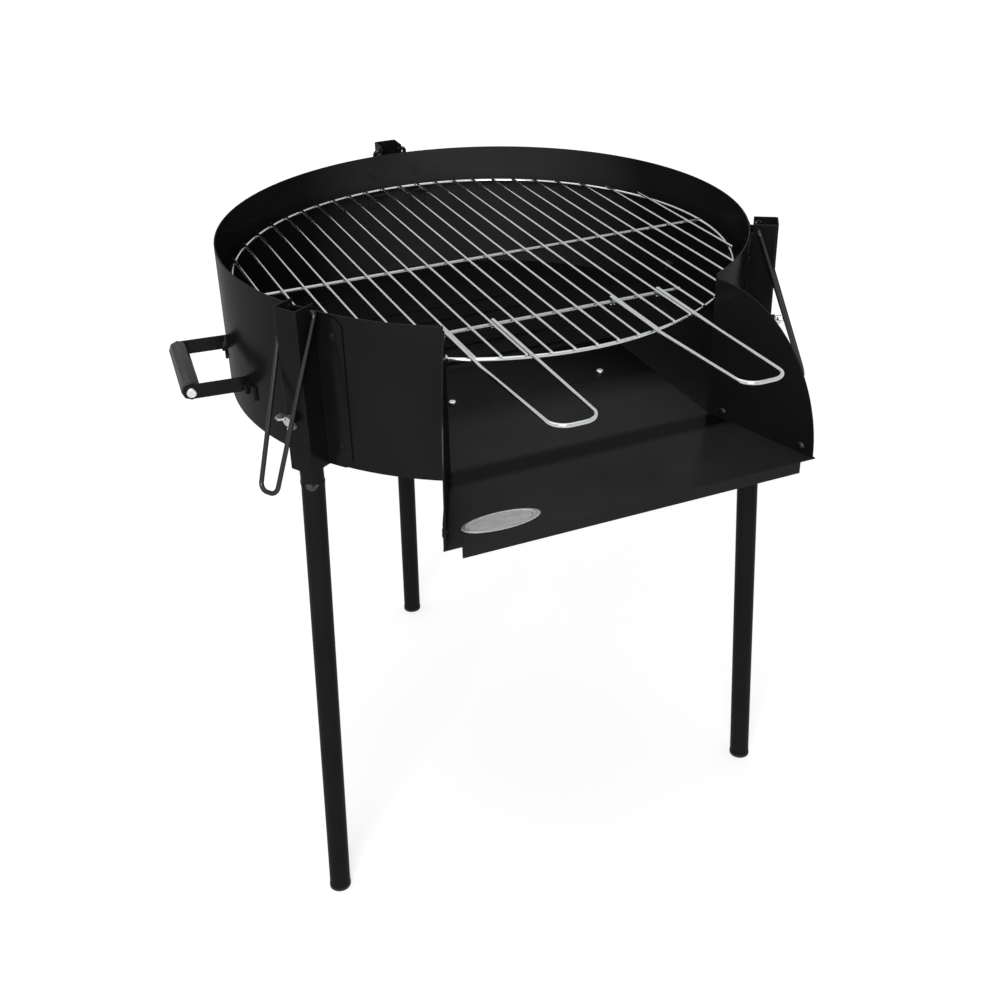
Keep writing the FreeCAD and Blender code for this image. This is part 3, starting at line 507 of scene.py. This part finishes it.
@dataclass(frozen=True)
class MetalFinish:
    """A plated or bright steel surface with slight stains."""

    name: str
    bright: Colour
    dull: Colour
    rough: Span
    uneven: Unevenness
    edge_radius: float = 0.3 * MM
    relief: Relief = Relief(strength=0.3, depth=0.1 * MM)

    def build(self, effects: SharedEffects) -> Material:
        """Makes the material.

        Args:
            effects: The shared node groups.

        Returns:
            The new material.
        """
        coat = Coat(self.name)
        tree = coat.tree
        uneven = effects.uneven(tree, self.uneven)
        edges = effects.edges(tree, self.edge_radius)
        coat.join("Base Color", tree.mix(uneven["Smudges"], rgba(self.bright), rgba(self.dull)))
        coat.join("Roughness", tree.spread(uneven["Patches"], UNIT, self.rough))
        coat.raise_surface(uneven["Height"], self.relief, edges["Normal"])
        coat.set("Metallic", 1.0)
        return coat.material


@dataclass(frozen=True)
class BrushedFinish:
    """A thin plate brushed along X, with fine long scratches."""

    name: str = "brushed_plate"
    bright: Colour = (0.44, 0.44, 0.434)
    dull: Colour = (0.25, 0.25, 0.247)
    rough: Span = (0.30, 0.46)
    scratch_scale: Triple = (60.0, 2600.0, 2600.0)
    scratch_detail: float = 3.0
    scratch_rough: float = 0.6
    streak_span: Span = (0.35, 0.65)
    rough_span: Span = (0.3, 0.7)
    stain_share: float = 0.5
    uneven: Unevenness = Unevenness(
        patch_scale=70.0, smudge_scale=260.0, grain_scale=2000.0, wave=0.0, grain=0.0)
    relief: Relief = Relief(strength=0.2, depth=0.05 * MM)

    def build(self, effects: SharedEffects) -> Material:
        """Makes the material.

        Args:
            effects: The shared node groups.

        Returns:
            The new material.
        """
        coat = Coat(self.name)
        tree = coat.tree
        brushed = tree.stretch(tree.place(), self.scratch_scale)
        scratches = tree.noise(brushed, self.scratch_detail, self.scratch_rough)
        streaks = tree.spread(scratches, self.streak_span, UNIT)
        tone = tree.mix(streaks, rgba(self.dull), rgba(self.bright))
        stained = tree.math("MULTIPLY", effects.uneven(tree, self.uneven)["Smudges"], self.stain_share)
        coat.join("Base Color", tree.mix(stained, tone, rgba(self.dull)))
        coat.join("Roughness", tree.spread(scratches, self.rough_span, self.rough))
        coat.raise_surface(scratches, self.relief)
        coat.set("Metallic", 1.0)
        return coat.material


@dataclass(frozen=True)
class WoodFinish:
    """Dark stained wood with pale streaks along the grip."""

    name: str
    turn_deg: float
    dark: Colour = (0.020, 0.0205, 0.0205)
    streak: Colour = (0.100, 0.101, 0.100)
    specular: float = 0.10
    fibre_scale: Triple = (520.0, 22.0, 520.0)
    fibre_detail: float = 4.0
    fibre_rough: float = 0.62
    fibre_span: Span = (0.45, 0.72)
    band_scale: Triple = (150.0, 9.0, 150.0)
    band_span: Span = (0.35, 0.65)
    band_share: Span = (0.25, 1.0)
    edge_radius: float = 0.8 * MM
    # Share of the painted highlight on the grip's edges.
    edge_share: float = 0.5
    rough_span: Span = (0.3, 0.7)
    rough: Span = (0.38, 0.6)
    relief: Relief = Relief(strength=0.5, depth=0.25 * MM)

    def build(self, effects: SharedEffects) -> Material:
        """Makes the material. The pattern is turned so that its long direction lies along the grip.

        Args:
            effects: The shared node groups.

        Returns:
            The new material.
        """
        coat = Coat(self.name)
        tree = coat.tree
        turn = (0.0, 0.0, math.radians(self.turn_deg))
        turned = tree.add("Mapping", Vector=tree.place(), Rotation=turn).outputs["Vector"]
        fibres = tree.noise(tree.stretch(turned, self.fibre_scale), self.fibre_detail, self.fibre_rough)
        bands = tree.noise(tree.stretch(turned, self.band_scale))
        streaks = tree.math("MULTIPLY", tree.spread(fibres, self.fibre_span, UNIT),
                            tree.spread(bands, self.band_span, self.band_share))
        edges = effects.edges(tree, self.edge_radius)
        # Pale streaks of grain, and a painted highlight along the grip's edges.
        grain_and_edge_highlight = tree.math("MAXIMUM", streaks, tree.math("MULTIPLY", edges["Mask"], self.edge_share))
        coat.join("Base Color", tree.mix(grain_and_edge_highlight, rgba(self.dark), rgba(self.streak)))
        coat.join("Roughness", tree.spread(fibres, self.rough_span, self.rough))
        coat.raise_surface(fibres, self.relief, edges["Normal"])
        coat.set("Specular IOR Level", self.specular)
        return coat.material


@dataclass(frozen=True)
class PlasticFinish:
    """Moulded black plastic with a fine texture."""

    name: str = "moulded_plastic"
    dark: Colour = (0.010, 0.010, 0.010)
    scuffed: Colour = (0.030, 0.030, 0.029)
    rough: Span = (0.5, 0.65)
    specular: float = 0.3
    uneven: Unevenness = Unevenness(
        patch_scale=60.0, smudge_scale=220.0, grain_scale=1800.0, wave=0.0, grain=1.0)
    relief: Relief = Relief(strength=0.4, depth=0.1 * MM)

    def build(self, effects: SharedEffects) -> Material:
        """Makes the material.

        Args:
            effects: The shared node groups.

        Returns:
            The new material.
        """
        coat = Coat(self.name)
        tree = coat.tree
        uneven = effects.uneven(tree, self.uneven)
        coat.join("Base Color", tree.mix(uneven["Smudges"], rgba(self.dark), rgba(self.scuffed)))
        coat.join("Roughness", tree.spread(uneven["Patches"], UNIT, self.rough))
        coat.raise_surface(uneven["Height"], self.relief)
        coat.set("Specular IOR Level", self.specular)
        return coat.material


class Finishes:
    """Every material of the grill."""

    wire = MetalFinish(
        "bright_grate_wire", bright=(0.50, 0.51, 0.52), dull=(0.38, 0.39, 0.395), rough=(0.10, 0.18),
        uneven=Unevenness(
            patch_scale=60.0, smudge_scale=240.0, grain_scale=1500.0, wave=0.0, grain=0.2))
    rod = MetalFinish(
        "dull_grate_rod", bright=(0.34, 0.345, 0.35), dull=(0.25, 0.255, 0.26), rough=(0.22, 0.34),
        uneven=Unevenness(
            patch_scale=60.0, smudge_scale=240.0, grain_scale=1500.0, wave=0.0, grain=0.4))
    zinc = MetalFinish(
        "dull_zinc_plating", bright=(0.66, 0.67, 0.66), dull=(0.42, 0.43, 0.42), rough=(0.26, 0.42),
        uneven=Unevenness(
            patch_scale=180.0, smudge_scale=720.0, grain_scale=1500.0, wave=0.0, grain=0.6))
    glossy_paint = PaintFinish("glossy_black_enamel", specular=0.50)
    grip_turns = {"left": 5.3, "right": -5.3}
    # Nodes whose paint gets painted light inside the drum.
    inside_lit_nodes = ("drum_wall", "grate_rest_clips", "bracket_rivets")
    glossy_endings = ("_pan_arm", "_rivets")

    def __init__(self) -> None:
        """Builds the shared groups and then each material."""
        effects = SharedEffects()
        self.by_slot = {
            Slot.PAINT: PaintFinish().build(effects),
            Slot.ZINC: self.zinc.build(effects),
            Slot.WIRE: self.wire.build(effects),
            Slot.PLATE: BrushedFinish().build(effects),
            Slot.FOOT: PlasticFinish().build(effects),
        }
        self.grips = {side: WoodFinish(side + "_stained_wood", turn).build(effects)
                      for side, turn in self.grip_turns.items()}
        self.rods = self.rod.build(effects)
        self.glossy = self.glossy_paint.build(effects)
        self.drum = InsideLitFinish().build(effects)
        self.tray = TrayFinish().build(effects)

    def dress(self, piece: bpy.types.Object, slot: Slot) -> None:
        """Gives a new piece the finish of a slot."""
        piece.data.materials.append(self.by_slot[slot])

    def dress_nodes(self) -> None:
        """Gives every CAD node its finish."""
        for name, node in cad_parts.items():
            material = self.choose(name, Slot(node.material_slots[0].material.name))
            node.material_slots[0].material = material
            LOG.info("%s wears %s", name, material.name)

    def choose(self, name: str, slot: Slot) -> Material:
        """The finish of a CAD node.

        Args:
            name: Name of the node.
            slot: Its slot in the record.

        Returns:
            The finish of the slot, but for each grip its own turn of the grain, for the grate's rods a duller
            metal, for arms and cheek rivets a glossier paint, for the tray a paler one with painted shade,
            and for the drum's wall with its clips and rivets a paint with painted light inside.
        """
        if slot is Slot.WOOD:
            return self.grips[name.split("_")[0]]
        if name == "grate_rods":
            return self.rods
        if name == "front_tray":
            return self.tray
        if name in self.inside_lit_nodes:
            return self.drum
        if slot is Slot.PAINT and name.endswith(self.glossy_endings):
            return self.glossy
        return self.by_slot[slot]


@dataclass
class TubeLegs:
    """Three steel tube legs, each with a flat dent pressed into its outer side where it bends."""

    finishes: Finishes
    diameter: float = 25 * MM
    wall: float = 1.5 * MM
    axis_out: float = 314.25 * MM
    top_z: float = RIM_HEIGHT - 8 * MM
    kink_z: float = RIM_HEIGHT - 193 * MM
    kink_radius: float = 90 * MM
    splay: float = math.radians(2.6)
    cut_z: float = 4.1 * MM
    cut_slack: float = 0.001 * MM
    dent_rise: float = 7 * MM
    dent_depth: float = 4.4 * MM
    dent_above: float = 1.6 * MM
    dent_below: float = 7.0 * MM
    dent_turn: float = math.radians(31.0)
    bulge_share: float = 0.15
    around: int = 72
    top_ring: float = 0.6 * MM
    upper_run: Span = (40 * MM, -20 * MM)
    upper_rings: int = 6
    dent_run: Span = (-14 * MM, 26 * MM)
    dent_rings: int = 100
    lower_gap: float = 40 * MM
    lower_rings: int = 24
    turns: dict[str, float] = field(default_factory=lambda: {"left": -58.2, "right": 58.2, "rear": 180.0})

    def kink(self) -> float:
        """Length from the top to the middle of the bend."""
        return self.top_z - self.kink_z

    def middle_line(self, s: np.ndarray) -> tuple[np.ndarray, np.ndarray, np.ndarray]:
        """The leg's middle line by its length from the top.

        It runs straight down, round a wide bend and straight on at the splay angle. The lean grows in step
        with the length inside the bend, and the place is the sum of the straight run, the bend's arc and the
        splayed run.

        Args:
            s: Lengths from the top.

        Returns:
            Distance outwards, height and lean angle at each length.
        """
        straight = self.kink() - self.kink_radius * math.tan(self.splay / 2)
        lean = np.clip((s - straight) / self.kink_radius, 0.0, self.splay)
        after = np.maximum(s - straight - self.kink_radius * self.splay, 0.0)
        out = self.axis_out + self.kink_radius * (1 - np.cos(lean)) + after * math.sin(self.splay)
        down = np.minimum(s, straight) + self.kink_radius * np.sin(lean) + after * math.cos(self.splay)
        return out, self.top_z - down, lean

    def ring_places(self) -> np.ndarray:
        """Lengths from the top at which rings lie: few on the straight runs and many round the dent."""
        kink = self.kink()
        length = kink + (self.kink_z - self.cut_z) / math.cos(self.splay)
        upper = np.linspace(self.upper_run[0], kink + self.upper_run[1], self.upper_rings)
        dent = np.linspace(kink + self.dent_run[0], kink + self.dent_run[1], self.dent_rings)
        lower = np.linspace(kink + self.lower_gap, length, self.lower_rings)
        return np.concatenate([[0.0, self.top_ring], upper, dent, lower])

    def dent(self, s: np.ndarray, turn: np.ndarray) -> np.ndarray:
        """How far the dent takes the surface in, by the length from the top and the angle round the leg.

        Down the leg the depth grows quickly to its full size and then falls evenly to nothing. Round the leg
        it is what a flat cut of that depth takes from a circle: the depth less the radius times 1 less the
        cosine of the angle from the dent's own direction. Where that is below 0 the sides bulge out by a
        small share of the depth times the squared sine of the angle.

        Args:
            s: Lengths from the top.
            turn: Angles round the leg.

        Returns:
            An array with a row for each length.
        """
        offset = s - self.kink() + self.dent_rise
        depth = np.interp(offset, [-self.dent_above, 0.0, self.dent_below], [0.0, 1.0, 0.0])[:, None]
        from_dent = (turn - self.dent_turn)[None, :]
        lost = self.diameter / 2 / self.dent_depth * (1 - np.cos(from_dent))
        bulge = self.bulge_share * np.sin(from_dent) ** 2
        return self.dent_depth * np.where(depth > lost, depth - lost, -bulge * depth)

    def tube_points(self) -> np.ndarray:
        """Rings of points down the outside and back up the inside of a leg that points along +X.

        Each ring is a circle square to the middle line, less the dent. The last rings are drawn along the leg
        to a level cut.

        Returns:
            Points as rows of rings.
        """
        places = self.ring_places()
        s = np.concatenate([places, places[::-1]])
        radius = np.repeat([self.diameter / 2, self.diameter / 2 - self.wall], len(places))
        out, height, lean = (values[:, None] for values in self.middle_line(s))
        turn = np.linspace(0.0, FULL_TURN, self.around, endpoint=False)
        ring = radius[:, None] - self.dent(s, turn)
        x = out + ring * np.cos(turn) * np.cos(lean)
        y = ring * np.sin(turn)
        z = height + ring * np.cos(turn) * np.sin(lean)
        at_cut = height < self.cut_z + self.cut_slack
        drop = np.where(at_cut, z - self.cut_z, 0.0)
        return np.stack([x + drop * math.tan(self.splay), y, z - drop], axis=-1)

    def build(self) -> None:
        """Makes the three legs in place of the plain ones, turned from +X to their angles from the front."""
        points = self.tube_points()
        faces = grid_faces(*points.shape[:2], Ends.CLOSED, Ends.CLOSED).tolist()
        for side, angle in self.turns.items():
            turn = np.array(Matrix.Rotation(math.radians(angle - 90.0), 3, "Z"))
            placed = points @ turn.T + np.array([0.0, AXIS_Y, 0.0])
            piece = make_piece(side + "_dented_leg", placed, faces)
            self.finishes.dress(piece, Slot.PAINT)
            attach(piece, "stand")
            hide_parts(side + "_leg")
            LOG.info("%s has %d faces", piece.name, len(piece.data.polygons))


@dataclass
class OvalPlate:
    """The bare oval plate on the tray, slightly pillowed inside a raised rim."""

    finishes: Finishes
    length: float = 82 * MM
    width: float = 28 * MM
    thickness: float = 0.8 * MM
    edge_round: float = 0.15 * MM
    edge_share: float = 0.985
    rim_height: float = 0.5 * MM
    rim_place: float = 0.90
    rim_spread: float = 0.035
    rim_run: Span = (0.97, 0.80)
    rim_rings: int = 18
    face_start: float = 0.76
    face_rings: int = 12
    middle_share: float = 0.02
    pillow: float = 0.25 * MM
    tray_drop: float = 10 * MM
    tray_reach: float = 120 * MM
    around: int = 160

    def points(self) -> np.ndarray:
        """Rings of the plate about its own middle, from the middle of its underside over the edge to its top.

        A ring is an ellipse with a share of the plate's half length and half width. The top's height is the
        thickness, plus a pillow that falls with the square of the share, plus a bell-shaped rim near the
        edge.

        Returns:
            Points as rows of rings.
        """
        side = [self.middle_share, self.edge_share, 1.0, 1.0]
        side_height = [0.0, 0.0, self.edge_round, self.thickness - self.edge_round]
        over = np.concatenate([[self.edge_share], np.linspace(*self.rim_run, self.rim_rings),
                               np.linspace(self.face_start, self.middle_share, self.face_rings)])
        top = self.thickness + self.pillow * (1 - over ** 2)
        top = top + self.rim_height * np.exp(-((over - self.rim_place) / self.rim_spread) ** 2)
        share = np.concatenate([side, over])[:, None]
        height = np.concatenate([side_height, top])[:, None]
        turn = np.linspace(0.0, FULL_TURN, self.around, endpoint=False)
        x = share * np.cos(turn) * self.length / 2
        y = share * np.sin(turn) * self.width / 2
        return np.stack([x, y, np.broadcast_to(height, x.shape)], axis=-1)

    def build(self) -> None:
        """Makes the plate in place of the plain one, on the slope of the tray."""
        low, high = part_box("nameplate")
        lean = np.array(Matrix.Rotation(math.atan(self.tray_drop / self.tray_reach), 3, "X"))
        middle = np.array((low + high) / 2) - lean @ np.array([0.0, 0.0, self.thickness / 2])
        points = self.points() @ lean.T + middle
        rows, columns = points.shape[:2]
        faces = grid_faces(rows, columns, Ends.OPEN, Ends.CLOSED).tolist() + end_faces(rows, columns)
        piece = make_piece("oval_plate", points, faces)
        self.finishes.dress(piece, Slot.PLATE)
        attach(piece, "stand")
        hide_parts("nameplate")
        LOG.info("%s has %d faces", piece.name, len(piece.data.polygons))


@dataclass
class GrateWelds:
    """The small flattened welds where the grate's bars cross its ring and rods."""

    finishes: Finishes
    ring_radius: float = 284.65 * MM
    bar_pitch: float = 24 * MM
    bars_each_side: int = 11
    bar_low_z: float = RIM_HEIGHT - 38.75 * MM
    rod_places: Span = (-5 * MM, -188.05 * MM)
    rod_halves: Span = (281.5 * MM, 150 * MM)
    size: Triple = (1.3 * MM, 1.8 * MM, 0.7 * MM)
    pole_gap: float = 0.12
    around: int = 8
    down: int = 5

    def centres(self) -> np.ndarray:
        """Places of the welds, relative to the drum's axis in plan.

        A bar at x meets the ring at plus and minus the root of the ring's radius squared less x squared, and
        each rod where x lies within the rod's half length.

        Returns:
            An array of places.
        """
        x = np.arange(-self.bars_each_side, self.bars_each_side + 1) * self.bar_pitch
        y = np.sqrt(self.ring_radius ** 2 - x ** 2)
        plan = [np.stack([x, y], -1), np.stack([x, -y], -1)]
        for place, half in zip(self.rod_places, self.rod_halves):
            inside = x[np.abs(x) < half]
            plan.append(np.stack([inside, np.full(len(inside), place)], -1))
        flat = np.concatenate(plan)
        return np.concatenate([flat, np.full((len(flat), 1), self.bar_low_z)], axis=1)

    def ball(self) -> np.ndarray:
        """Rings of a small ellipsoid: a ball by its angles from the pole and round it, times half sizes."""
        polar = np.linspace(self.pole_gap, math.pi - self.pole_gap, self.down)[:, None]
        turn = np.linspace(0.0, FULL_TURN, self.around, endpoint=False)[None, :]
        sides = (np.sin(polar) * np.cos(turn), np.sin(polar) * np.sin(turn), np.cos(polar))
        return np.stack(np.broadcast_arrays(*sides), -1).reshape(-1, 3) * np.array(self.size)

    def build(self) -> None:
        """Makes all the welds as one piece: the same small ellipsoid at every place."""
        ball = self.ball()
        centres = self.centres() + np.array([0.0, AXIS_Y, 0.0])
        points = centres[:, None, :] + ball[None, :, :]
        quads = grid_faces(self.down, self.around, Ends.OPEN, Ends.CLOSED)
        step = np.arange(len(centres))[:, None, None] * len(ball)
        piece = make_piece("grate_welds", points, (quads[None] + step).reshape(-1, 4).tolist())
        self.finishes.dress(piece, Slot.WIRE)
        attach(piece, "grate")
        LOG.info("%s has %d welds", piece.name, len(centres))


@dataclass(frozen=True)
class SoftBox:
    """One soft studio lamp."""

    name: str
    place: Triple
    size: float
    power: float


@dataclass
class Studio:
    """Pale floor, white surround, soft boxes and the camera."""

    floor_half: float = 30.0
    floor_colour: Colour = (0.66, 0.66, 0.66)
    glow_run: Span = (0.9, 3.2)
    glow: Span = (0.58, 0.76)
    sky_light: float = 0.45
    lamp_aim_z: float = 0.8 * RIM_HEIGHT
    lens: float = 48.49
    sensor: float = 36.0
    camera_reach: float = 200.0
    eye: Triple = (-0.5645, -1.3628, 0.5049)
    azimuth_deg: float = -23.01
    elevation_deg: float = 30.60
    roll_deg: float = -1.34
    boxes: tuple[SoftBox, ...] = (
        SoftBox("key_soft_box", (-1.4, -2.2, 2.1), 1.2, 46.0),
        SoftBox("top_soft_box", (-0.2, 0.3, 3.0), 2.4, 20.0),
    )

    @staticmethod
    def seen_by_eye(tree: Tree) -> Socket:
        """1 for rays from the camera, from gloss and through glass, and 0 for the rest."""
        path = tree.add("LightPath").outputs
        gloss = tree.math("MAXIMUM", path["Is Camera Ray"], path["Is Glossy Ray"])
        return tree.math("MAXIMUM", gloss, path["Is Transmission Ray"])

    def floor_material(self) -> Material:
        """A pale matt colour plus a glow, for the eye only, that grows with the distance from the grill."""
        material = bpy.data.materials.new("pale_floor")
        material.use_nodes = True
        tree = Tree(material.node_tree)
        tree.tree.nodes.clear()
        pale = tree.add("BsdfDiffuse", Color=rgba(self.floor_colour)).outputs["BSDF"]
        distance = tree.add("VectorMath", {"operation": "LENGTH"})
        tree.put(distance, 0, tree.place())
        fade = tree.spread(distance.outputs["Value"], self.glow_run, self.glow)
        strength = tree.math("MULTIPLY", self.seen_by_eye(tree), fade)
        glow = tree.add("Emission", Color=rgba(WHITE), Strength=strength).outputs["Emission"]
        both = tree.add("AddShader")
        tree.put(both, 0, pale)
        tree.put(both, 1, glow)
        tree.add("OutputMaterial", Surface=both.outputs["Shader"])
        return material

    def build_floor(self) -> None:
        """A plain pale floor that keeps the shadow near the grill and shows white further off."""
        corners = np.array([[-1, -1, 0], [1, -1, 0], [1, 1, 0], [-1, 1, 0]], dtype=float) * self.floor_half
        floor = make_piece("floor", corners, [[0, 1, 2, 3]])
        floor.data.materials.append(self.floor_material())

    def build_surround(self) -> None:
        """A world that lights softly and shows white."""
        world = bpy.data.worlds.new("white_surround")
        bpy.context.scene.world = world
        world.use_nodes = True
        tree = Tree(world.node_tree)
        tree.tree.nodes.clear()
        strength = tree.spread(self.seen_by_eye(tree), UNIT, (self.sky_light, 1.0))
        sky = tree.add("Background", Color=rgba(WHITE), Strength=strength)
        tree.add("OutputWorld", Surface=sky.outputs["Background"])

    def build_lamps(self) -> None:
        """Soft boxes that all point at the drum."""
        target = Vector((0.0, AXIS_Y, self.lamp_aim_z))
        for box in self.boxes:
            lamp = bpy.data.lights.new(box.name, "AREA")
            lamp.shape = "SQUARE"
            lamp.size = box.size
            lamp.energy = box.power
            holder = bpy.data.objects.new(box.name, lamp)
            holder.location = box.place
            holder.rotation_euler = (target - Vector(box.place)).to_track_quat("-Z", "Y").to_euler()
            bpy.context.scene.collection.objects.link(holder)

    def build_camera(self) -> None:
        """The camera at the photograph's place, turn and field of view."""
        a, e = math.radians(self.azimuth_deg), math.radians(self.elevation_deg)
        back = Vector((math.sin(a) * math.cos(e), -math.cos(a) * math.cos(e), math.sin(e)))
        level = Vector((math.cos(a), math.sin(a), 0.0))
        aim = Matrix((level, back.cross(level), back)).transposed()
        camera = bpy.data.objects.new("photo_camera", bpy.data.cameras.new("photo_camera"))
        camera.data.lens = self.lens
        camera.data.sensor_width = self.sensor
        camera.data.clip_end = self.camera_reach
        place = Matrix.Translation(Vector(self.eye) + Vector((0.0, AXIS_Y, RIM_HEIGHT)))
        camera.matrix_world = place @ aim.to_4x4() @ Matrix.Rotation(math.radians(self.roll_deg), 4, "Z")
        bpy.context.scene.collection.objects.link(camera)
        bpy.context.scene.camera = camera

    def build(self) -> None:
        """Builds the whole studio."""
        self.build_floor()
        self.build_surround()
        self.build_lamps()
        self.build_camera()
        bpy.context.scene.view_settings.view_transform = "Standard"


def main() -> None:
    """Dresses the model, adds the formed pieces and sets up the studio."""
    logging.basicConfig(level=logging.INFO, format="%(message)s")
    Studio().build()
    finishes = Finishes()
    finishes.dress_nodes()
    TubeLegs(finishes).build()
    OvalPlate(finishes).build()
    GrateWelds(finishes).build()


if __name__ == "__main__":
    main()
